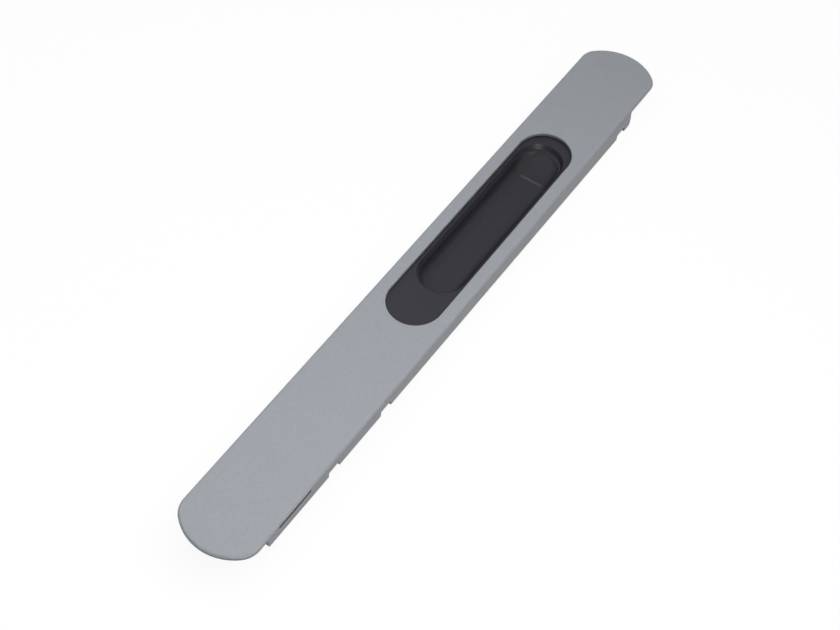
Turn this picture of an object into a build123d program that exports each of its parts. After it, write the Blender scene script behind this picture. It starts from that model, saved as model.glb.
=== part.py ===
from build123d import *
import os

# Recessed handle for a sliding sash: a long cover plate with side skirts, and behind its opening a
# finger cup that slides 12 mm to work the lock through a steel strip and a drive pin.
# X runs along the handle towards its deep end, Y across it, Z out of the face. Depths are counted
# from the face down, and z = 0 is the level of the drive pin's tip.

os.makedirs("parts", exist_ok=True)

# Cover plate, seen from the front
plate_length = 236.0
plate_width = 28.0
plate_thickness = 1.1
end_arc_radius = 17.5
near_corner_radius = 7.2
far_corner_radius = 6.2
edge_round = 0.9
opening_length = 93.45
opening_width = 19.0
opening_far_margin = 47.675
opening_edge_round = 0.25

# Side skirts, which grow deeper towards the far end
skirt_wall = 1.5
skirt_near_overhang = 13.25
skirt_near_depth = 4.85
skirt_far_depth = 7.3
skirt_near_round = 0.5
skirt_far_round = 1.5
notch_width = 5.15
notch_height = 1.95
notch_lean = 0.25
first_notch_offset = 27.75
notch_pitch = 25.6
end_lug_length = 3.85
slit_offset = 5.0
slit_length = 14.7
slit_height = 1.15
slit_top_depth = 0.7

# Sliding plate with the finger cup, drawn at the far end of its travel
travel = 12.0
slide_gap = 0.3
slide_side_gap = 0.3
slide_overlap = 2.6
slide_corner_radius = 2.0
shelf_thickness = 1.5
rim_length = 73.15
rim_width = 16.9
rim_round = 0.3
lip_height = 1.6
lip_inset = 0.95
cup_depth = 6.9
cup_floor_radius = 3.5
cup_wall = 1.3
cup_foot_chamfer = 2.8
ramp_shelf = 1.8
ramp_length = 9.8
ramp_crease_radius = 3.0
peg_radius = 1.5
peg_fit = 0.04
peg_head_radius = 2.3
peg_head_height = 0.9
peg_head_gap = 0.4
peg_first_offset = 4.0
peg_pitch = 9.2

# Steel drive strip, its pin and the click spring
strip_width = 9.0
strip_thickness = 1.0
strip_cup_gap = 1.8
strip_corner_radius = 1.2
pin_click_offset = 9.4
pin_radius = 3.0
pin_tip_depth = 13.0
pin_chamfer = 0.5
pin_collar_radius = 3.6
pin_collar_height = 1.6
pin_spigot_radius = 2.0
click_hub_margin = 7.875
click_window_length = 4.6
click_window_width = 4.8
spring_width = 4.0
spring_thickness = 0.4
spring_bend_radius = 1.2
spring_arm_length = 5.4
spring_arm_drop = 0.8
spring_nose_run = 2.6
spring_nose_dip = 0.45
spring_tail_run = 3.6
spring_tail_rise = 1.25

# Rear tray
tray_recess = 0.2
tray_side_gap = 0.2
tray_end_gap = 0.75
tray_edge_chamfer = 0.4
runner_gap = 0.2
hub_gap = 0.4
window_gap = 0.45
channel_side_gap = 0.3
channel_floor_gap = 0.2
pin_slot_gap = 0.25
hook_gap = 0.35
hook_thickness = 0.35
hook_recess = 0.5
bridge_length = 10.0
bridge_thickness = 0.8
bridge_peg_radius = 0.9
bridge_peg_height = 0.65
core_wall = 1.5
core_roof = 1.2
core_round = 0.8
near_core_count = 3
near_core_length = 13.0
far_core_length = 14.5

# Fasteners: two threaded inserts for the fixing screws, and two small screws that hold the tray
insert_end_margin = 13.15
insert_boss_wall = 1.775
insert_bore_radius = 2.1
insert_radius = 3.3
insert_length = 3.5
insert_flange_radius = 3.8
insert_flange_height = 0.8
insert_fit = 0.04
far_boss_offset = 5.075
far_end_margin = 5.3
tray_screw_side_margin = 5.3
post_radius = 2.1
post_gap = 0.2
post_depth = 4.4
post_roof = 0.3
post_web = 1.1
screw_radius = 1.1
screw_length = 3.9
screw_fit = 0.04
screw_head_radius = 1.9
screw_head_height = 1.2
screw_head_chamfer = 0.4
screw_head_gap = 0.25
screw_recess_width = 1.5
screw_recess_arm = 0.45
screw_recess_depth = 0.6

# Sizes that follow from the ones above
face_height = pin_tip_depth
half_length = plate_length / 2
half_width = plate_width / 2
opening_far_x = half_length - opening_far_margin
opening_near_x = opening_far_x - opening_length
opening_center_x = (opening_near_x + opening_far_x) / 2
slide_near_x = opening_near_x - slide_overlap
slide_far_x = opening_far_x + travel + slide_overlap
near_hub_far_x = slide_near_x - travel - hub_gap
far_hub_near_x = slide_far_x + hub_gap
tray_screw_x = far_hub_near_x + far_boss_offset
tray_screw_y = half_width - tray_screw_side_margin
skirt_near_x = skirt_near_overhang - half_length
skirt_far_x = tray_screw_x + far_end_margin
skirt_slope = (skirt_far_depth - skirt_near_depth) / (skirt_far_x - skirt_near_x)
notch_xs = [
    skirt_near_x + first_notch_offset,
    skirt_near_x + first_notch_offset + notch_pitch,
    skirt_far_x - end_lug_length - notch_width,
]
slit_x = skirt_near_x + slit_offset + slit_length / 2

shelf_top_depth = plate_thickness + slide_gap
shelf_bottom_depth = shelf_top_depth + shelf_thickness
step_depth = shelf_top_depth + lip_height
slide_half_width = half_width - skirt_wall - slide_side_gap
# The rim stands as far from the opening's far end at rest as from its near end after the travel
rim_far_x = opening_far_x - (opening_length - rim_length - travel) / 2
rim_near_x = rim_far_x - rim_length
cup_center_x = (rim_near_x + rim_far_x) / 2
step_length = rim_length - 2 * lip_inset
step_width = rim_width - 2 * lip_inset
cup_outer_near_x = cup_center_x - step_length / 2 - cup_wall
cup_outer_far_x = cup_center_x + step_length / 2 + cup_wall
cup_outer_half_width = step_width / 2 + cup_wall

strip_bottom_depth = shelf_bottom_depth + strip_thickness
strip_far_x = cup_outer_near_x - strip_cup_gap
insert_xs = [skirt_near_x + insert_end_margin, tray_screw_x]
channel_near_x = insert_xs[0] + insert_flange_radius + insert_boss_wall
strip_near_x = channel_near_x + hub_gap + travel
click_x = near_hub_far_x - click_hub_margin
pin_x = click_x - pin_click_offset
peg_xs = [strip_far_x - peg_first_offset, strip_far_x - peg_first_offset - peg_pitch]

runner_depth = shelf_bottom_depth + runner_gap
channel_width = strip_width + 2 * channel_side_gap
channel_floor_depth = strip_bottom_depth + channel_floor_gap
window_near_x = cup_outer_near_x - travel - window_gap
window_far_x = cup_outer_far_x + window_gap
window_width = 2 * (cup_outer_half_width + window_gap)
tray_near_x = skirt_near_x + tray_end_gap
tray_far_x = skirt_far_x - tray_end_gap
tray_half_width = half_width - skirt_wall - tray_side_gap
bridge_bottom_depth = shelf_bottom_depth - runner_gap
bridge_top_depth = bridge_bottom_depth - bridge_thickness
spring_foot_depth = bridge_top_depth - spring_thickness / 2
spring_nose_depth = shelf_bottom_depth + spring_nose_dip
bridge_far_x = click_x - spring_nose_run - spring_arm_length
bridge_x = bridge_far_x - bridge_length / 2
post_web_depth = post_depth + post_web
tray_screw_places = [(tray_screw_x, -tray_screw_y), (tray_screw_x, tray_screw_y)]
core_y = (channel_width / 2 + tray_half_width) / 2
core_width = tray_half_width - channel_width / 2 - 2 * core_wall
near_core_pitch = near_core_length + core_wall
first_core_x = near_hub_far_x - core_wall - near_core_length / 2
near_core_xs = [first_core_x - i * near_core_pitch for i in range(near_core_count)]
far_core_x = window_far_x + core_wall + far_core_length / 2


def height(depth):
    """The z of a level that lies this far below the face."""
    return face_height - depth


def below(depth):
    """The horizontal plane that lies this far below the face."""
    return Plane.XY.offset(height(depth))


def skirt_depth(x):
    """How far below the face the skirts' bottom edge is at x."""
    return skirt_near_depth + skirt_slope * (x - skirt_near_x)


def tray_depth(x):
    """How far below the face the tray's back is at x."""
    return skirt_depth(x) - tray_recess


def cup_form(top_depth, grow):
    """The cup's well up to this depth: its inside, or its outside when grown by the wall."""
    near_end = -step_length / 2
    far_end = step_length / 2
    ramp_foot = far_end - ramp_shelf - ramp_length
    ramp_rise = (cup_depth - step_depth) * (far_end - ramp_foot) / ramp_length
    headroom = cup_depth + cup_floor_radius
    with BuildPart() as form:
        # Seen from the side, the near end is upright and the floor climbs a ramp to the far end
        with BuildSketch(Plane.XZ.shift_origin((cup_center_x, 0, height(cup_depth)))) as side_view:
            Polygon(
                (near_end, headroom),
                (near_end, 0),
                (ramp_foot, 0),
                (far_end, ramp_rise),
                (far_end, headroom),
                align=None,
            )
            fillet(side_view.vertices().group_by(Axis.Y)[0].sort_by(Axis.X)[-1], ramp_crease_radius)
            if grow > 0:
                offset(amount=grow, kind=Kind.INTERSECTION)
        extrude(amount=plate_width, both=True)
        with BuildSketch(below(cup_depth + grow)):
            with Locations((cup_center_x, 0)):
                SlotOverall(step_length + 2 * grow, step_width + 2 * grow)
        extrude(amount=headroom, mode=Mode.INTERSECT)
        edges = form.edges()
        foot = edges - edges.group_by(Axis.Z)[-1] - edges.filter_by(Axis.Z) - edges.filter_by(Axis.Y)
        if grow > 0:
            chamfer(foot, length=cup_foot_chamfer)
        else:
            fillet(foot, radius=cup_floor_radius)
        split(bisect_by=below(top_depth), keep=Keep.BOTTOM)
    return form.part


# Cover plate: the face with its opening, two skirts, and two posts for the tray's screws
with BuildPart() as cover_plate:
    with BuildSketch(below(plate_thickness)) as face_outline:
        arc_half_chord = (end_arc_radius**2 - half_width**2) ** 0.5
        corner_x = half_length - end_arc_radius + arc_half_chord
        with BuildLine():
            Line((-corner_x, -half_width), (corner_x, -half_width))
            ThreePointArc((corner_x, -half_width), (half_length, 0), (corner_x, half_width))
            Line((corner_x, half_width), (-corner_x, half_width))
            ThreePointArc((-corner_x, half_width), (-half_length, 0), (-corner_x, -half_width))
        make_face()
        fillet(face_outline.vertices().group_by(Axis.X)[-1], radius=far_corner_radius)
        fillet(face_outline.vertices().group_by(Axis.X)[0], radius=near_corner_radius)
    extrude(amount=plate_thickness)
    fillet(cover_plate.faces().sort_by(Axis.Z)[-1].edges(), radius=edge_round)
    for side in (-1, 1):
        with BuildSketch(Plane.XZ.offset(-side * half_width)) as skirt_outline:
            Polygon(
                (skirt_near_x, height(plate_thickness)),
                (skirt_near_x, height(skirt_near_depth)),
                (skirt_far_x, height(skirt_far_depth)),
                (skirt_far_x, height(plate_thickness)),
                align=None,
            )
            fillet(skirt_outline.vertices().group_by(Axis.X)[0].sort_by(Axis.Y)[0], skirt_near_round)
            fillet(skirt_outline.vertices().group_by(Axis.X)[-1].sort_by(Axis.Y)[0], skirt_far_round)
            for notch_x in notch_xs:
                notch_top = height(skirt_depth(notch_x) - notch_height)
                notch_foot = height(skirt_depth(notch_x) + notch_height)
                Polygon(
                    (notch_x, notch_foot),
                    (notch_x, height(skirt_depth(notch_x))),
                    (notch_x + notch_lean, notch_top),
                    (notch_x + notch_width, notch_top),
                    (notch_x + notch_width, notch_foot),
                    align=None,
                    mode=Mode.SUBTRACT,
                )
        extrude(amount=side * skirt_wall)
    for side in (-1, 1):
        with BuildSketch(Plane.XZ.offset(-side * half_width)):
            with Locations((slit_x, height(slit_top_depth + slit_height / 2))):
                Rectangle(slit_length, slit_height)
        extrude(amount=side * skirt_wall, mode=Mode.SUBTRACT)
    with BuildSketch(below(post_depth)):
        with Locations(*tray_screw_places):
            Circle(post_radius)
    extrude(amount=post_depth - plate_thickness)
    with BuildSketch(below(post_depth)):
        with Locations(*tray_screw_places):
            Circle(screw_radius + screw_fit)
    extrude(amount=post_depth - plate_thickness - post_roof, mode=Mode.SUBTRACT)
    with BuildSketch(below(plate_thickness)):
        with Locations((opening_center_x, 0)):
            SlotOverall(opening_length, opening_width)
    extrude(amount=plate_thickness, mode=Mode.SUBTRACT)
    opening_edge = cover_plate.faces().sort_by(Axis.Z)[-1].inner_wires()[0].edges()
    fillet(opening_edge, radius=opening_edge_round)

cover_plate.part.label = "cover_plate"
export_step(cover_plate.part, "parts/cover_plate.step")

# Finger slide: a flat shelf under the face, a lipped cup sunk in it, and two staked pegs for the strip
cup_inside = cup_form(step_depth, 0)
cup_outside = cup_form(shelf_bottom_depth, cup_wall)

with BuildPart() as finger_slide:
    with BuildSketch(below(shelf_bottom_depth)):
        with Locations(((slide_near_x + slide_far_x) / 2, 0)):
            RectangleRounded(slide_far_x - slide_near_x, 2 * slide_half_width, slide_corner_radius)
    extrude(amount=shelf_thickness)
    add(cup_outside)
    # A collar keeps the wall round the foot of the lip
    with BuildSketch(below(step_depth + cup_wall)):
        with Locations((cup_center_x, 0)):
            SlotOverall(step_length + 2 * cup_wall, step_width + 2 * cup_wall)
    extrude(amount=step_depth + cup_wall - shelf_bottom_depth)
    with BuildSketch(below(step_depth)):
        with Locations((cup_center_x, 0)):
            SlotOverall(step_length, step_width)
    with BuildSketch(below(shelf_top_depth)):
        with Locations((cup_center_x, 0)):
            SlotOverall(rim_length, rim_width)
    loft(mode=Mode.SUBTRACT)
    add(cup_inside, mode=Mode.SUBTRACT)
    rim_edge = finger_slide.faces().sort_by(Axis.Z)[-1].inner_wires()[0].edges()
    fillet(rim_edge, radius=rim_round)
    with BuildSketch(below(shelf_bottom_depth)):
        with Locations(*[(x, 0) for x in peg_xs]):
            Circle(peg_radius)
    extrude(amount=-strip_thickness)
    with BuildSketch(below(strip_bottom_depth)):
        with Locations(*[(x, 0) for x in peg_xs]):
            Circle(peg_head_radius)
    extrude(amount=-peg_head_height, taper=20)

finger_slide.part.label = "finger_slide"
export_step(finger_slide.part, "parts/finger_slide.step")

# Drive strip: a flat steel bar with holes for the pegs and the pin, and two click windows
with BuildPart() as drive_strip:
    with BuildSketch(below(strip_bottom_depth)):
        with Locations(((strip_near_x + strip_far_x) / 2, 0)):
            RectangleRounded(strip_far_x - strip_near_x, strip_width, strip_corner_radius)
        with Locations(*[(x, 0) for x in peg_xs]):
            Circle(peg_radius + peg_fit, mode=Mode.SUBTRACT)
        with Locations((pin_x, 0)):
            Circle(pin_spigot_radius + peg_fit, mode=Mode.SUBTRACT)
        with Locations((click_x, 0), (click_x + travel, 0)):
            Rectangle(click_window_length, click_window_width, mode=Mode.SUBTRACT)
    extrude(amount=strip_thickness)

drive_strip.part.label = "drive_strip"
export_step(drive_strip.part, "parts/drive_strip.step")

# Drive pin: a turned steel pin, with a collar under the strip and a spigot riveted into it
with BuildPart() as drive_pin:
    with BuildSketch(Plane.XY):
        with Locations((pin_x, 0)):
            Circle(pin_radius)
    extrude(amount=height(strip_bottom_depth))
    chamfer(drive_pin.faces().sort_by(Axis.Z)[0].edges(), length=pin_chamfer)
    with BuildSketch(below(strip_bottom_depth)):
        with Locations((pin_x, 0)):
            Circle(pin_collar_radius)
    extrude(amount=-pin_collar_height)
    with BuildSketch(below(strip_bottom_depth)):
        with Locations((pin_x, 0)):
            Circle(pin_spigot_radius)
    extrude(amount=strip_thickness)

drive_pin.part.label = "drive_pin"
export_step(drive_pin.part, "parts/drive_pin.step")

# Click spring: a bent steel leaf, its foot on the tray's bridge and its nose in a window of the strip
with BuildPart() as click_spring:
    with BuildSketch(Plane.XZ):
        with BuildLine():
            FilletPolyline(
                (bridge_far_x - bridge_length, height(spring_foot_depth)),
                (bridge_far_x, height(spring_foot_depth)),
                (bridge_far_x + spring_arm_length, height(spring_foot_depth + spring_arm_drop)),
                (click_x, height(spring_nose_depth)),
                (click_x + spring_tail_run, height(spring_nose_depth - spring_tail_rise)),
                radius=spring_bend_radius,
            )
        trace(line_width=spring_thickness)
    extrude(amount=spring_width / 2, both=True)
    with BuildSketch(below(bridge_top_depth)):
        with Locations((bridge_x, 0)):
            Circle(bridge_peg_radius + peg_fit)
    extrude(amount=2 * spring_thickness, mode=Mode.SUBTRACT)

click_spring.part.label = "click_spring"
export_step(click_spring.part, "parts/click_spring.step")

# Guide tray: the moulded back that carries the slide between two thick ends
with BuildPart() as guide_tray:
    with BuildSketch(Plane.XZ):
        Polygon(
            (tray_near_x, height(plate_thickness)),
            (near_hub_far_x, height(plate_thickness)),
            (near_hub_far_x, height(runner_depth)),
            (far_hub_near_x, height(runner_depth)),
            (far_hub_near_x, height(plate_thickness)),
            (tray_far_x, height(plate_thickness)),
            (tray_far_x, height(tray_depth(tray_far_x))),
            (tray_near_x, height(tray_depth(tray_near_x))),
            align=None,
        )
    extrude(amount=tray_half_width, both=True)
    chamfer(guide_tray.faces().sort_by(Axis.Z)[0].edges(), length=tray_edge_chamfer)
    # The cup's window, the strip's channel, the pin's slot and the way for the peg heads
    with BuildSketch(Plane.XY):
        with Locations(((window_near_x + window_far_x) / 2, 0)):
            SlotOverall(window_far_x - window_near_x, window_width)
        with Locations((pin_x - travel / 2, 0)):
            pin_slot_width = 2 * (pin_collar_radius + pin_slot_gap)
            SlotOverall(travel + pin_slot_width, pin_slot_width)
        with Locations(((peg_xs[-1] - travel + window_near_x) / 2, 0)):
            peg_slot_length = window_near_x - peg_xs[-1] + travel
            SlotCenterToCenter(peg_slot_length + window_gap, 2 * (peg_head_radius + peg_head_gap))
    extrude(amount=face_height, mode=Mode.SUBTRACT)
    with BuildSketch(below(channel_floor_depth)):
        channel_far_x = window_near_x + window_width / 2
        with Locations(((channel_near_x + channel_far_x) / 2, 0)):
            Rectangle(channel_far_x - channel_near_x, channel_width)
    extrude(amount=channel_floor_depth, mode=Mode.SUBTRACT)
    # The bridge over the channel, with the peg that holds the spring
    with BuildSketch(below(bridge_bottom_depth)):
        with Locations((bridge_x, 0)):
            Rectangle(bridge_length, channel_width)
    extrude(amount=bridge_thickness)
    with BuildSketch(below(bridge_top_depth)):
        with Locations((bridge_x, 0)):
            Circle(bridge_peg_radius)
    extrude(amount=bridge_peg_height)
    # Seats for the threaded inserts
    for insert_x in insert_xs:
        seat_depth = tray_depth(insert_x) - insert_length + insert_flange_height
        with BuildSketch(Plane.XY):
            with Locations((insert_x, 0)):
                Circle(insert_radius + insert_fit)
        extrude(amount=face_height, mode=Mode.SUBTRACT)
        with BuildSketch(below(seat_depth)):
            with Locations((insert_x, 0)):
                Circle(insert_flange_radius + insert_fit)
        extrude(amount=seat_depth, mode=Mode.SUBTRACT)
    # Pockets for the cover's posts, with a web that the screws pull against
    with BuildSketch(below(post_depth)):
        with Locations(*tray_screw_places):
            Circle(post_radius + post_gap)
    extrude(amount=post_depth, mode=Mode.SUBTRACT)
    with BuildSketch(Plane.XY):
        with Locations(*tray_screw_places):
            Circle(screw_head_radius + screw_head_gap)
    extrude(amount=height(post_web_depth), mode=Mode.SUBTRACT)
    with BuildSketch(Plane.XY):
        with Locations(*tray_screw_places):
            Circle(screw_radius + screw_fit)
    extrude(amount=face_height, mode=Mode.SUBTRACT)
    # Cores that keep the moulding's walls even
    with BuildSketch(Plane.XY):
        with Locations(*[(x, side * core_y) for x in near_core_xs for side in (-1, 1)]):
            RectangleRounded(near_core_length, core_width, core_round)
    extrude(amount=height(plate_thickness + core_roof), mode=Mode.SUBTRACT)
    with BuildSketch(Plane.XY):
        far_core_width = tray_half_width - 1.5 * core_wall
        with Locations(*[(far_core_x, side * (core_wall + far_core_width) / 2) for side in (-1, 1)]):
            RectangleRounded(far_core_length, far_core_width, core_round)
    extrude(amount=height(runner_depth + core_roof), mode=Mode.SUBTRACT)
    # Tabs that hook into the slits of the skirts
    with BuildSketch(below(plate_thickness + hook_thickness)):
        with Locations((slit_x, 0)):
            Rectangle(slit_length - 2 * hook_gap, 2 * (half_width - hook_recess))
            Rectangle(slit_length, 2 * tray_half_width - core_wall, mode=Mode.SUBTRACT)
    extrude(amount=hook_thickness)

guide_tray.part.label = "guide_tray"
export_step(guide_tray.part, "parts/guide_tray.step")


# Threaded inserts: a flange towards the face, a round body, and the thread's bore
def threaded_insert(x):
    bottom_depth = tray_depth(x)
    with BuildPart() as insert:
        with BuildSketch(below(bottom_depth)):
            with Locations((x, 0)):
                Circle(insert_radius)
        extrude(amount=insert_length)
        with BuildSketch(below(bottom_depth - insert_length + insert_flange_height)):
            with Locations((x, 0)):
                Circle(insert_flange_radius)
        extrude(amount=insert_flange_height)
        with BuildSketch(below(bottom_depth)):
            with Locations((x, 0)):
                Circle(insert_bore_radius)
        extrude(amount=insert_length, mode=Mode.SUBTRACT)
    return insert.part


insert_near = threaded_insert(insert_xs[0])
insert_near.label = "insert_near"
export_step(insert_near, "parts/insert_near.step")
insert_far = threaded_insert(insert_xs[1])
insert_far.label = "insert_far"
export_step(insert_far, "parts/insert_far.step")


# Tray screws: a shank in the cover's post and a chamfered head with a cross recess
def tray_screw(place):
    with BuildPart() as screw:
        with BuildSketch(below(post_web_depth)):
            with Locations(place):
                Circle(screw_radius)
        extrude(amount=screw_length)
        with BuildSketch(below(post_web_depth)):
            with Locations(place):
                Circle(screw_head_radius)
        extrude(amount=-screw_head_height)
        chamfer(screw.faces().sort_by(Axis.Z)[0].edges(), length=screw_head_chamfer)
        with BuildSketch(below(post_web_depth + screw_head_height)):
            with Locations(place):
                Rectangle(screw_recess_width, screw_recess_arm)
                Rectangle(screw_recess_arm, screw_recess_width)
        extrude(amount=screw_recess_depth, mode=Mode.SUBTRACT)
    return screw.part


tray_screw_right = tray_screw(tray_screw_places[0])
tray_screw_right.label = "tray_screw_right"
export_step(tray_screw_right, "parts/tray_screw_right.step")
tray_screw_left = tray_screw(tray_screw_places[1])
tray_screw_left.label = "tray_screw_left"
export_step(tray_screw_left, "parts/tray_screw_left.step")
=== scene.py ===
import math

import bmesh
import bpy
from bpy.props import FloatProperty, FloatVectorProperty, PointerProperty
from mathutils import Matrix, Vector


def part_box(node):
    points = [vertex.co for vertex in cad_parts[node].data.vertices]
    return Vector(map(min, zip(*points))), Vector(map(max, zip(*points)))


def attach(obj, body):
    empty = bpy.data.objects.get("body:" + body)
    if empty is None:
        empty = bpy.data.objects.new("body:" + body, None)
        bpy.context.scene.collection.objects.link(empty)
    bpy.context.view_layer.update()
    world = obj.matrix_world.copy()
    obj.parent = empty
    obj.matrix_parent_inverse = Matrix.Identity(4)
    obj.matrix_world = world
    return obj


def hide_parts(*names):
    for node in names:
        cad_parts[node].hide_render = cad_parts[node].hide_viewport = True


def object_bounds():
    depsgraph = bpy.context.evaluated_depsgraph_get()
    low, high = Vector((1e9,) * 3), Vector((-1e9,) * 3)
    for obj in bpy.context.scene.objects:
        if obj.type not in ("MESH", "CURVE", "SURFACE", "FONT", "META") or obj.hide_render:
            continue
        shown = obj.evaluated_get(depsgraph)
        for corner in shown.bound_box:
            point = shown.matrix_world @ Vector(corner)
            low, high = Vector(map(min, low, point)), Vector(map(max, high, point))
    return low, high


bl_info = {
    "name": "Recessed handle",
    "version": (1, 0, 0),
    "blender": (4, 5, 0),
    "location": "View3D > Sidebar > Handle",
    "description": "Finishes the packed recessed handle and lights it for a picture",
    "category": "Object",
}

MM = 0.001

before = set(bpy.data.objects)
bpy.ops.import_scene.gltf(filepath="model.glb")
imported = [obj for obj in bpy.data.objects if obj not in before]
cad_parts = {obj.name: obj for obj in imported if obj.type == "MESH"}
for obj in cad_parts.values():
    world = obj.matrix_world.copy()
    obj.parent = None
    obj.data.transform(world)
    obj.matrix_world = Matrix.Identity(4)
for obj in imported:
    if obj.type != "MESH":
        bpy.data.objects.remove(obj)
CAD_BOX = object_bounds()
FACE = CAD_BOX[1].z
HALF_WIDTH = CAD_BOX[1].y

# The cover plate's finger opening, the slit in each of its skirts and its thickness, as in the part's source
OPENING_LENGTH = 93.45 * MM
OPENING_WIDTH = 19.0 * MM
OPENING_MID = 23.6 * MM
SLIT_LENGTH = 14.7 * MM
SLIT_MID = -92.4 * MM
SLIT_TOP_DEPTH = 0.7 * MM
PLATE_THICKNESS = 1.1 * MM

# Limits of the painted shade: how far below the face the painted shade on the opening's wall begins, how far
# in from the sides the painted shade on the inside begins, and margins that keep each limit clear of the
# surface beside it
OPENING_SHADE_DROP = 0.22 * MM
INSIDE_SHADE_INSET = 0.1 * MM
OPENING_MARGIN = 0.03 * MM
SLIT_MARGIN = 0.05 * MM
INSIDE_MARGIN = 0.05 * MM

# Profiles of the turned pieces and their threads, as (radius, height) in millimetres
PIN_PROFILE = (
    (0.0, 0.1), (0.35, 0.0), (2.45, 0.0), (2.7, 0.08), (2.92, 0.3), (3.0, 0.6), (3.0, 7.05), (2.97, 7.12),
    (2.75, 7.22), (2.75, 7.42), (2.82, 7.5), (3.44, 7.5), (3.56, 7.55), (3.6, 7.66), (3.6, 8.94), (3.56, 9.05),
    (3.44, 9.1), (2.0, 9.1), (2.0, 9.9), (1.9, 10.02), (1.7, 10.1), (0.0, 10.1),
)
INSERT_PROFILE = (
    (2.3, 0.32), (2.66, 0.0), (3.12, 0.0), (3.3, 0.2), (3.3, 2.6), (3.3, 2.7), (3.72, 2.7), (3.8, 2.78),
    (3.8, 3.4), (3.7, 3.5), (2.66, 3.5), (2.3, 3.2),
)
INSERT_THREAD = ((2.1, -0.8), (2.1, -0.7), (2.42, -0.45), (2.42, -0.35), (2.1, -0.1), (2.1, 0.0))
SCREW_PROFILE = (
    (0.0, 1.2), (0.9, 1.17), (1.35, 1.08), (1.66, 0.92), (1.84, 0.68), (1.9, 0.42), (1.88, 0.1), (1.82, 0.0),
    (0.78, 0.0), (0.78, -3.3), (0.35, -3.86), (0.0, -3.9),
)
SCREW_THREAD = ((0.76, -3.35), (1.08, -3.19), (1.08, -3.15), (0.76, -2.99))
Z_AXIS = (0.0, 0.0, 1.0)

# Steps round the turned pieces and the threads
PIN_STEPS = 64
INSERT_STEPS = 96
SCREW_STEPS = 48
THREAD_STEPS = 32

# The insert: its thread, where that is cut off, and the knurl's ridges and grooves on the barrel
INSERT_PITCH = 0.8
INSERT_TURNS = 7
INSERT_THREAD_LOW = 0.28 * MM
INSERT_THREAD_HIGH = 3.24 * MM
KNURL_LOW = 0.1 * MM
KNURL_HIGH = 2.65 * MM
KNURL_INSIDE = 3.2 * MM
KNURL_DEPTH_FACTOR = 3.16 / 3.3

# The screw: its thread, its head, and each arm of the cross recess, as (length, width, height) at its mouth and
# at its foot
SCREW_PITCH = 0.72
SCREW_TURNS = 4
SCREW_HEAD_HEIGHT = 1.2 * MM
RECESS_MOUTH = (1.9 * MM, 0.42 * MM, 1.3 * MM)
RECESS_FOOT = (0.9 * MM, 0.26 * MM, 0.42 * MM)

# Edges sharper than this angle aren't smoothed
SHARP_ANGLE = math.radians(32.0)

# The photograph's viewpoint, as seen from a point on the face
CAMERA_AZIMUTH = math.radians(35.24)
CAMERA_ELEVATION = math.radians(54.58)
CAMERA_DISTANCE = 448.0157 * MM
CAMERA_TARGET = Vector((-17.3906 * MM, -4.3241 * MM, FACE))

# The square lights in metres: the place, with its height over the face, the side of the square, and the point
# on the face's middle line that the light is aimed at
KEY_PLACE, KEY_SIZE, KEY_AIM = (0.03, -0.18, 0.43), 0.4, -0.22
GLINT_PLACE, GLINT_SIZE, GLINT_AIM = (0.295, 0.41, 1.095), 0.08, 0.03
EDGE_PLACE, EDGE_SIZE, EDGE_AIM = (-0.45, -0.36, 0.34), 0.16, -0.1
KEY_SPREAD = math.radians(96.0)

# The floor: half its side, the point of the deep end that rests on it, the share of its look that glows, the
# glow's strength, and the colours of its cloth and of what it throws back at the handle
FLOOR_REACH = 3.0
DEEP_END = Vector((94.2 * MM, 0.0, 5.7 * MM))
GLOW_SHARE = 0.9
GLOW_STRENGTH = 1.03
WHITE = (1.0, 1.0, 1.0, 1.0)
CLOTH = (0.82, 0.82, 0.82, 1.0)
BOUNCE = (0.1, 0.06, 0.05, 1.0)


# Shader nodes, written as expressions


class Wire:
    """A value in a shader tree. Arithmetic on it adds Math nodes."""

    def __init__(self, maker, socket):
        self.maker = maker
        self.socket = socket

    def __add__(self, other):
        return self.maker.math("ADD", self, other)

    def __sub__(self, other):
        return self.maker.math("SUBTRACT", self, other)

    def __rsub__(self, other):
        return self.maker.math("SUBTRACT", other, self)

    def __mul__(self, other):
        return self.maker.math("MULTIPLY", self, other)


class Maker:
    """Adds nodes to one material's or world's tree."""

    def __init__(self, tree):
        self.tree = tree

    def add(self, kind, settings=None, inputs=None, output=0):
        """Adds a node of this kind, with its settings set before its inputs, and returns one output."""
        node = self.tree.nodes.new("ShaderNode" + kind)
        for name, value in (settings or {}).items():
            setattr(node, name, value)
        for name, value in (inputs or {}).items():
            if isinstance(value, Wire):
                self.tree.links.new(value.socket, node.inputs[name])
            else:
                node.inputs[name].default_value = value
        return Wire(self, node.outputs[output]) if node.outputs else None

    def outputs(self, kind, names, inputs=None):
        """Adds a node of this kind and returns its outputs of these names."""
        node = self.add(kind, None, inputs).socket.node
        return tuple(Wire(self, node.outputs[name]) for name in names)

    def math(self, operation, first, second=0.0):
        """One operation on one or two values."""
        return self.add("Math", {"operation": operation}, {0: first, 1: second})

    def below(self, limit, value):
        """1 where the value is below the limit, and 0 where it is above."""
        return self.math("LESS_THAN", value, limit)

    def noise(self, place, size, detail=2.0, roughness=0.5):
        """Noise from 0 to 1 whose features are about this size, in metres."""
        return self.add(
            "TexNoise", None, {"Vector": place, "Scale": 1.0 / size, "Detail": detail, "Roughness": roughness},
        )

    def stretched(self, place, scale):
        """The coordinates with each axis multiplied by its own factor."""
        return self.add("Mapping", {"vector_type": "POINT"}, {"Vector": place, "Scale": scale})

    def blend(self, factor, first, second):
        """A mix of two colours."""
        settings = {"data_type": "RGBA", "blend_type": "MIX"}
        return self.add("Mix", settings, {0: factor, 6: first, 7: second}, output=2)

    def bump(self, height, distance, strength):
        """A normal pushed by a height pattern of this depth, in metres."""
        return self.add("Bump", None, {"Height": height, "Distance": distance, "Strength": strength})


def swing(noise, depth):
    """A noise made to swing about 0, by half this depth each way."""
    return (noise - 0.5) * depth


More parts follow.
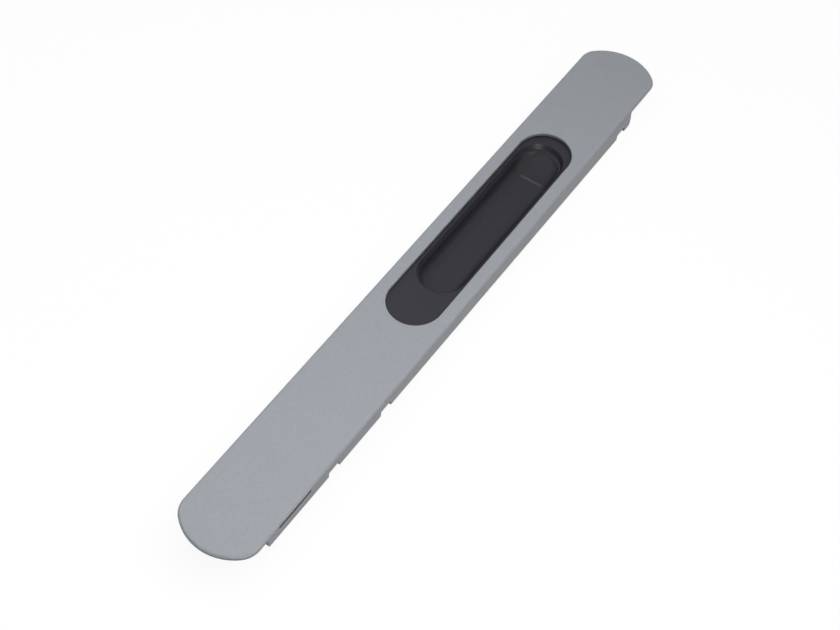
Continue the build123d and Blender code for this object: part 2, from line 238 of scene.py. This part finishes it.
def shade(color, factor=1.0):
    """A colour made lighter or darker, with its alpha."""
    return tuple(channel * factor for channel in color[:3]) + (1.0,)


def new_material(name):
    """An empty material, its maker and its Object coordinates."""
    material = bpy.data.materials.new(name)
    material.use_nodes = True
    material.node_tree.nodes.clear()
    maker = Maker(material.node_tree)
    place = maker.add("TexCoord", output="Object")
    return material, maker, place


def finish_material(material, maker, inputs):
    """Ends a material in one Principled shader."""
    surface = maker.add("BsdfPrincipled", None, inputs)
    maker.add("OutputMaterial", None, {"Surface": surface})
    return material


def powder_coat():
    """Satin grey paint with a fine orange peel, a faint mottle and painted shade on the opening's wall and the
    inside.
    """
    finish = bpy.context.scene.handle_finish
    depth = finish.paint_mottle
    material, maker, place = new_material("satin_grey_paint")
    mottle = maker.noise(place, 1.1 * MM, detail=3.0, roughness=0.6)
    grain = maker.noise(place, 0.35 * MM)
    cloud = maker.noise(place, 9.0 * MM)
    peel = maker.noise(place, 0.5 * MM, detail=3.0)
    tone = swing(mottle, depth) + swing(grain, 0.6 * depth) + swing(cloud, 0.35 * depth) + 0.5
    color = maker.blend(tone, shade(finish.paint_color, 0.75), shade(finish.paint_color, 1.25))
    opening, inside = painted_shade_masks(maker, place)
    # Painted shade: the cut edges, the slits and the inside are darkened where shade falls under the plate
    color = maker.blend(inside, color, shade(finish.inside_shade_color))
    # Painted shade: the opening's wall below the rounded edge gets a darker grey for the shade it lies in
    color = maker.blend(opening, color, shade(finish.opening_shade_color))
    inputs = {
        "Base Color": color,
        "Roughness": swing(cloud, 0.08) + finish.paint_roughness,
        "Normal": maker.bump(peel, 0.02 * MM, 0.6),
        "IOR": 1.45,
    }
    return finish_material(material, maker, inputs)


def painted_shade_masks(maker, place):
    """Two masks of painted shade, 1 on the wall of the finger opening, and 1 on the cut edges, the slits and
    the inside.
    """
    x, y, z = maker.outputs("SeparateXYZ", "XYZ", {"Vector": place})
    half_straight = (OPENING_LENGTH - OPENING_WIDTH) / 2
    past_end = maker.math("MAXIMUM", maker.math("ABSOLUTE", x - OPENING_MID) - half_straight)
    reach = maker.math("SQRT", past_end * past_end + y * y)
    opening = maker.below(OPENING_WIDTH / 2 + OPENING_MARGIN, reach) * maker.below(FACE - OPENING_SHADE_DROP, z)
    slit = maker.below(SLIT_LENGTH / 2 + SLIT_MARGIN, maker.math("ABSOLUTE", x - SLIT_MID))
    depth = PLATE_THICKNESS - INSIDE_MARGIN - slit * (PLATE_THICKNESS - SLIT_TOP_DEPTH)
    inside = maker.below(HALF_WIDTH - INSIDE_SHADE_INSET, maker.math("ABSOLUTE", y)) * maker.below(FACE - depth, z)
    return opening, inside


def moulding(name, tint, roughness, grain_size):
    """Black moulded plastic with a fine grain and faint flow marks along the part."""
    material, maker, place = new_material(name)
    grain = maker.noise(place, grain_size, detail=3.0)
    flow = maker.noise(maker.stretched(place, (0.15, 1.0, 1.0)), 3.0 * MM)
    tone = swing(grain, 0.35) + swing(flow, 0.25) + 0.5
    inputs = {
        "Base Color": maker.blend(tone, shade(tint, 0.8), shade(tint, 1.2)),
        "Roughness": swing(flow, 0.12) + swing(grain, 0.1) + roughness,
        "Normal": maker.bump(grain, 0.01 * MM, 0.5),
        "IOR": 1.42,
    }
    return finish_material(material, maker, inputs)


def bare_metal(name, tint, roughness, streak):
    """Bare metal with streaks: streak stretches them along X, Y and Z."""
    material, maker, place = new_material(name)
    lines = maker.noise(maker.stretched(place, streak), 0.25 * MM, detail=3.0)
    stain = maker.noise(place, 4.0 * MM, detail=3.0)
    tone = swing(lines, 0.5) + swing(stain, 0.4) + 0.5
    inputs = {
        "Base Color": maker.blend(tone, shade(tint, 0.82), shade(tint, 1.12)),
        "Metallic": 1.0,
        "Roughness": swing(lines, 0.2) + swing(stain, 0.15) + roughness,
        "Normal": maker.bump(lines, 0.004 * MM, 0.5),
    }
    return finish_material(material, maker, inputs)


# Mesh tools


def new_object(name, shape):
    """Turns a bmesh into an object of the scene."""
    bmesh.ops.remove_doubles(shape, verts=shape.verts, dist=0.001 * MM)
    bmesh.ops.recalc_face_normals(shape, faces=shape.faces)
    mesh = bpy.data.meshes.new(name)
    shape.to_mesh(mesh)
    shape.free()
    smooth(mesh)
    thing = bpy.data.objects.new(name, mesh)
    bpy.context.scene.collection.objects.link(thing)
    return thing


def new_piece(name, shape, material, body, node):
    """Turns a bmesh into a piece that rides on a body and stands for this CAD node."""
    piece = new_object(name, shape)
    piece.data.materials.append(material)
    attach(piece, body)
    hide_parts(node)
    return piece


def smooth(mesh):
    """Shades a mesh smooth, apart from its sharp edges."""
    mesh.polygons.foreach_set("use_smooth", [True] * len(mesh.polygons))
    mesh.set_sharp_from_angle(angle=SHARP_ANGLE)


def outline(shape, profile):
    """Adds a profile's points and edges to a bmesh, in the XZ plane, and returns them."""
    corners = [shape.verts.new((radius * MM, 0.0, height * MM)) for radius, height in profile]
    return corners + [shape.edges.new(pair) for pair in zip(corners, corners[1:])]


def turned(shape, profile, steps):
    """Adds a turned form: its profile spun about the Z axis."""
    line = outline(shape, profile)
    bmesh.ops.spin(shape, geom=line, axis=Z_AXIS, angle=2.0 * math.pi, steps=steps, use_merge=True)


def thread(shape, profile, pitch, turns):
    """Adds a thread: its profile wound round the Z axis, at a pitch in millimetres."""
    bmesh.ops.spin(
        shape, geom=outline(shape, profile), axis=Z_AXIS, dvec=(0.0, 0.0, pitch * MM / THREAD_STEPS),
        angle=2.0 * math.pi * turns, steps=THREAD_STEPS * turns,
    )


def put_at(shape, node, height=0.0):
    """Moves a form from the origin to the middle of a node's box, this far over the box's underside."""
    low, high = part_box(node)
    place = ((low.x + high.x) / 2, (low.y + high.y) / 2, low.z + height)
    bmesh.ops.translate(shape, verts=shape.verts, vec=place)


def cut_away(piece, cutter):
    """Takes the cutter's form out of the piece, and deletes the cutter."""
    cut = piece.modifiers.new("cut", "BOOLEAN")
    cut.operation = "DIFFERENCE"
    cut.solver = "EXACT"
    cut.object = cutter
    mesh = bpy.data.meshes.new_from_object(piece.evaluated_get(bpy.context.evaluated_depsgraph_get()))
    whole = piece.data
    piece.modifiers.clear()
    piece.data = mesh
    mesh.name = whole.name
    bpy.data.meshes.remove(whole)
    bpy.data.objects.remove(cutter)
    smooth(mesh)


def dress(node, material):
    """Gives a carried-over CAD node its material."""
    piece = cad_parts[node]
    if not piece.material_slots:
        piece.data.materials.append(material)
    for material_slot in piece.material_slots:
        material_slot.material = material


# Settings


def color_setting(name, description, default):
    """A colour that the panel shows."""
    return FloatVectorProperty(
        name=name, description=description, subtype="COLOR", size=3, min=0.0, max=1.0, default=default,
    )


def power_setting(name, description, default):
    """A light's power that the panel shows."""
    return FloatProperty(name=name, description=description, default=default, min=0.0, unit="POWER")


class HandleFinish(bpy.types.PropertyGroup):
    """Colours and finishes of the handle."""

    paint_color: color_setting("Paint", "Colour of the cover plate's paint", (0.337, 0.36, 0.391))
    paint_roughness: FloatProperty(
        name="Paint roughness", description="Roughness of the paint", default=0.42, min=0.0, max=1.0,
    )
    paint_mottle: FloatProperty(
        name="Paint mottle", description="Strength of the paint's light and dark specks", default=0.35, min=0.0,
        max=1.0,
    )
    # Painted shade: the next two colours darken the inside, the cut edges, the slits and the opening's wall,
    # where shade falls
    inside_shade_color: color_setting("Cut edge", "Colour of the cut edges and the inside", (0.1, 0.1, 0.094))
    opening_shade_color: color_setting("Opening", "Colour of the finger opening's wall", (0.33, 0.34, 0.32))
    slide_color: color_setting("Finger slide", "Colour of the moulded finger slide", (0.0288, 0.0269, 0.0353))
    tray_color: color_setting("Guide tray", "Colour of the moulded guide tray", (0.018, 0.018, 0.019))
    steel_color: color_setting("Steel", "Colour of the strip, the pin and the spring", (0.56, 0.56, 0.57))
    brass_color: color_setting("Brass", "Colour of the threaded inserts", (0.66, 0.47, 0.2))


class HandleStage(bpy.types.PropertyGroup):
    """Camera and lights."""

    lens: FloatProperty(
        name="Lens", description="Focal length of the camera in millimetres, on a 36 mm wide sensor",
        default=61.915, min=1.0,
    )
    key_power: power_setting("Key light", "Power of the soft light above the handle", 0.61)
    glint_power: power_setting("Glint light", "Power of the small light that glints in the cup", 0.95)
    edge_power: power_setting("Edge light", "Power of the light that only glints along the edges", 2.0)
    ambient: FloatProperty(
        name="Ambient", description="Level of the light that comes from all round", default=0.42, min=0.0,
        max=2.0,
    )


# Pieces


class HANDLE_OT_cover(bpy.types.Operator):
    """Paint the cover plate"""

    bl_idname = "handle.cover"
    bl_label = "Cover plate"

    def execute(self, context):
        dress("cover_plate", powder_coat())
        return {"FINISHED"}


class HANDLE_OT_slide(bpy.types.Operator):
    """Finish the finger slide"""

    bl_idname = "handle.slide"
    bl_label = "Finger slide"

    def execute(self, context):
        finish = context.scene.handle_finish
        dress("finger_slide", moulding("slide_moulding", finish.slide_color, 0.35, 0.3 * MM))
        return {"FINISHED"}


class HANDLE_OT_tray(bpy.types.Operator):
    """Finish the guide tray"""

    bl_idname = "handle.tray"
    bl_label = "Guide tray"

    def execute(self, context):
        finish = context.scene.handle_finish
        dress("guide_tray", moulding("tray_moulding", finish.tray_color, 0.55, 0.5 * MM))
        return {"FINISHED"}


class HANDLE_OT_drive(bpy.types.Operator):
    """Finish the drive strip, the drive pin and the click spring"""

    bl_idname = "handle.drive"
    bl_label = "Drive strip, pin and spring"

    def execute(self, context):
        tint = context.scene.handle_finish.steel_color
        along, upright = (0.06, 1.0, 1.0), (0.1, 0.1, 1.0)
        dress("drive_strip", bare_metal("rolled_steel", tint, 0.34, along))
        self.add_pin(bare_metal("turned_steel", tint, 0.28, upright))
        dress("click_spring", bare_metal("spring_steel", shade(tint, 0.75), 0.3, along))
        return {"FINISHED"}

    def add_pin(self, steel):
        """The turned pin: a rounded tip, a groove under the collar and a riveted head in the strip."""
        shape = bmesh.new()
        turned(shape, PIN_PROFILE, PIN_STEPS)
        put_at(shape, "drive_pin")
        new_piece("turned_drive_pin", shape, steel, "slide", "drive_pin")


class HANDLE_OT_fasteners(bpy.types.Operator):
    """Finish the threaded inserts and the tray screws"""

    bl_idname = "handle.fasteners"
    bl_label = "Inserts and screws"

    def execute(self, context):
        finish = context.scene.handle_finish
        brass = bare_metal("insert_brass", finish.brass_color, 0.3, (1.0, 1.0, 0.2))
        zinc = bare_metal("screw_zinc", shade(finish.steel_color, 1.05), 0.3, (1.0, 1.0, 1.0))
        for node in ("insert_near", "insert_far"):
            self.add_insert(node, brass)
        for node in ("tray_screw_left", "tray_screw_right"):
            self.add_screw(node, zinc)
        return {"FINISHED"}

    def add_insert(self, node, brass):
        """A pressed-in insert with a knurled barrel, a flange towards the face and a wound thread."""
        shape = bmesh.new()
        turned(shape, INSERT_PROFILE, INSERT_STEPS)
        for corner in shape.verts:
            column = round(math.atan2(corner.co.y, corner.co.x) / (2.0 * math.pi / INSERT_STEPS))
            on_barrel = KNURL_LOW < corner.co.z < KNURL_HIGH and corner.co.xy.length > KNURL_INSIDE
            if column % 2 and on_barrel:
                corner.co.xy *= KNURL_DEPTH_FACTOR
        wound = self.insert_thread()
        shape.from_mesh(wound)
        bpy.data.meshes.remove(wound)
        put_at(shape, node)
        new_piece("threaded_" + node, shape, brass, "housing", node)

    def insert_thread(self):
        """A mesh of the insert's thread, cut off flat at both ends."""
        ridges = bmesh.new()
        thread(ridges, INSERT_THREAD, INSERT_PITCH, INSERT_TURNS)
        for level, side in ((INSERT_THREAD_LOW, -1.0), (INSERT_THREAD_HIGH, 1.0)):
            geometry = ridges.verts[:] + ridges.edges[:] + ridges.faces[:]
            bmesh.ops.bisect_plane(
                ridges, geom=geometry, plane_co=(0.0, 0.0, level), plane_no=(0.0, 0.0, side), clear_outer=True,
            )
        wound = bpy.data.meshes.new("wound")
        ridges.to_mesh(wound)
        ridges.free()
        return wound

    def add_screw(self, node, zinc):
        """A pan head screw with a cross recess and a coarse thread, head down."""
        shape = bmesh.new()
        turned(shape, SCREW_PROFILE, SCREW_STEPS)
        thread(shape, SCREW_THREAD, SCREW_PITCH, SCREW_TURNS)
        piece = new_piece("pan_" + node, shape, zinc, "housing", node)
        cut_away(piece, self.cross_recess())
        whole = bmesh.new()
        whole.from_mesh(piece.data)
        bmesh.ops.rotate(whole, verts=whole.verts, matrix=Matrix.Rotation(math.pi, 3, "X"))
        put_at(whole, node, SCREW_HEAD_HEIGHT)
        whole.to_mesh(piece.data)
        whole.free()

    def cross_recess(self):
        """The form that cuts a cross recess: two crossed arms that narrow towards their foot."""
        recess = bmesh.new()
        for turn in (0.0, math.pi / 2):
            arm = bmesh.ops.create_cube(recess, size=1.0)["verts"]
            for corner in arm:
                length, width, level = RECESS_FOOT if corner.co.z < 0.0 else RECESS_MOUTH
                corner.co = (corner.co.x * length, corner.co.y * width, level)
            bmesh.ops.rotate(recess, verts=arm, matrix=Matrix.Rotation(turn, 3, "Z"))
        return new_object("recess", recess)


class HANDLE_OT_stage(bpy.types.Operator):
    """Add the camera, the lights, the floor and the world"""

    bl_idname = "handle.stage"
    bl_label = "Camera, lights and floor"

    def execute(self, context):
        stage = context.scene.handle_stage
        self.add_camera(context, stage)
        key = self.add_light(context, "key_light", KEY_PLACE, KEY_SIZE, KEY_AIM, stage.key_power)
        key.visible_glossy = False
        key.data.spread = KEY_SPREAD
        self.add_light(context, "glint_light", GLINT_PLACE, GLINT_SIZE, GLINT_AIM, stage.glint_power)
        edge = self.add_light(context, "edge_light", EDGE_PLACE, EDGE_SIZE, EDGE_AIM, stage.edge_power)
        edge.visible_diffuse = False
        self.add_floor(context)
        self.add_world(context, stage)
        context.scene.view_settings.view_transform = "Standard"
        return {"FINISHED"}

    def add_camera(self, context, stage):
        """The camera, where the photograph was taken from."""
        level = math.cos(CAMERA_ELEVATION)
        back = Vector((
            -math.cos(CAMERA_AZIMUTH) * level, -math.sin(CAMERA_AZIMUTH) * level, math.sin(CAMERA_ELEVATION),
        ))
        data = bpy.data.cameras.new("camera")
        data.lens = stage.lens
        data.sensor_width = 36.0
        data.clip_start = 0.01
        camera = bpy.data.objects.new("camera", data)
        camera.location = CAMERA_TARGET + back * CAMERA_DISTANCE
        camera.rotation_euler = back.to_track_quat("Z", "Y").to_euler()
        context.scene.collection.objects.link(camera)
        context.scene.camera = camera

    def add_light(self, context, name, place, size, aim, power):
        """A square soft light over the face, aimed at a point of its middle line."""
        data = bpy.data.lights.new(name, "AREA")
        data.size = size
        data.energy = power
        light = bpy.data.objects.new(name, data)
        light.location = (place[0], place[1], FACE + place[2])
        back = light.location - Vector((aim, 0.0, FACE))
        light.rotation_euler = back.to_track_quat("Z", "Y").to_euler()
        context.scene.collection.objects.link(light)
        return light

    def add_floor(self, context):
        """A pale floor on which the handle leans on its pin and its deep end."""
        mesh = bpy.data.meshes.new("floor")
        shape = bmesh.new()
        bmesh.ops.create_grid(shape, x_segments=1, y_segments=1, size=FLOOR_REACH)
        low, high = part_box("drive_pin")
        pin_end = Vector((high.x, 0.0, low.z))
        slope = math.atan2(DEEP_END.z - pin_end.z, DEEP_END.x - pin_end.x)
        bmesh.ops.rotate(shape, verts=shape.verts, matrix=Matrix.Rotation(-slope, 3, "Y"))
        bmesh.ops.translate(shape, verts=shape.verts, vec=pin_end)
        shape.to_mesh(mesh)
        shape.free()
        mesh.materials.append(self.pale_floor())
        floor = bpy.data.objects.new("floor", mesh)
        context.scene.collection.objects.link(floor)

    def pale_floor(self):
        """White where it is seen, dim where it only lights the handle, and clear from below."""
        material, maker, _ = new_material("pale_floor")
        names = ("Is Camera Ray", "Is Glossy Ray", "Is Transmission Ray")
        camera, glossy, through = maker.outputs("LightPath", names)
        seen = maker.add("Math", {"operation": "ADD", "use_clamp": True}, {0: camera + glossy, 1: through})
        cloth = maker.add("BsdfDiffuse", None, {"Color": CLOTH})
        glow = maker.add("Emission", None, {"Color": WHITE, "Strength": GLOW_STRENGTH})
        pale = maker.add("MixShader", None, {0: GLOW_SHARE, 1: cloth, 2: glow})
        dim = maker.add("BsdfDiffuse", None, {"Color": BOUNCE})
        lit = maker.add("MixShader", None, {0: seen, 1: dim, 2: pale})
        below = maker.add("NewGeometry", output="Backfacing")
        surface = maker.add("MixShader", None, {0: below, 1: lit, 2: maker.add("BsdfTransparent")})
        maker.add("OutputMaterial", None, {"Surface": surface})
        return material

    def add_world(self, context, stage):
        """A white surround that lights the handle only a little."""
        world = bpy.data.worlds.new("surround")
        world.use_nodes = True
        world.node_tree.nodes.clear()
        maker = Maker(world.node_tree)
        camera = maker.add("LightPath", output="Is Camera Ray")
        strength = camera * (1.0 - stage.ambient) + stage.ambient
        background = maker.add("Background", None, {"Color": WHITE, "Strength": strength})
        maker.add("OutputWorld", None, {"Surface": background})
        context.scene.world = world


class HANDLE_PT_panel(bpy.types.Panel):
    """The handle's pieces and settings"""

    bl_idname = "HANDLE_PT_panel"
    bl_label = "Recessed handle"
    bl_space_type = "VIEW_3D"
    bl_region_type = "UI"
    bl_category = "Handle"

    def draw(self, context):
        layout = self.layout
        for group in (context.scene.handle_finish, context.scene.handle_stage):
            box = layout.box()
            for name in group.bl_rna.properties.keys():
                if name not in ("rna_type", "name"):
                    box.prop(group, name)
        for operator in OPERATORS:
            layout.operator(operator.bl_idname)


GROUPS = (HandleFinish, HandleStage)
OPERATORS = (
    HANDLE_OT_cover,
    HANDLE_OT_slide,
    HANDLE_OT_tray,
    HANDLE_OT_drive,
    HANDLE_OT_fasteners,
    HANDLE_OT_stage,
)


def register():
    for cls in GROUPS + OPERATORS + (HANDLE_PT_panel,):
        bpy.utils.register_class(cls)
    bpy.types.Scene.handle_finish = PointerProperty(type=HandleFinish)
    bpy.types.Scene.handle_stage = PointerProperty(type=HandleStage)


def unregister():
    del bpy.types.Scene.handle_stage
    del bpy.types.Scene.handle_finish
    for cls in reversed(GROUPS + OPERATORS + (HANDLE_PT_panel,)):
        bpy.utils.unregister_class(cls)


def main():
    register()
    bpy.ops.handle.cover()
    bpy.ops.handle.slide()
    bpy.ops.handle.tray()
    bpy.ops.handle.drive()
    bpy.ops.handle.fasteners()
    bpy.ops.handle.stage()


if __name__ == "__main__":
    main()
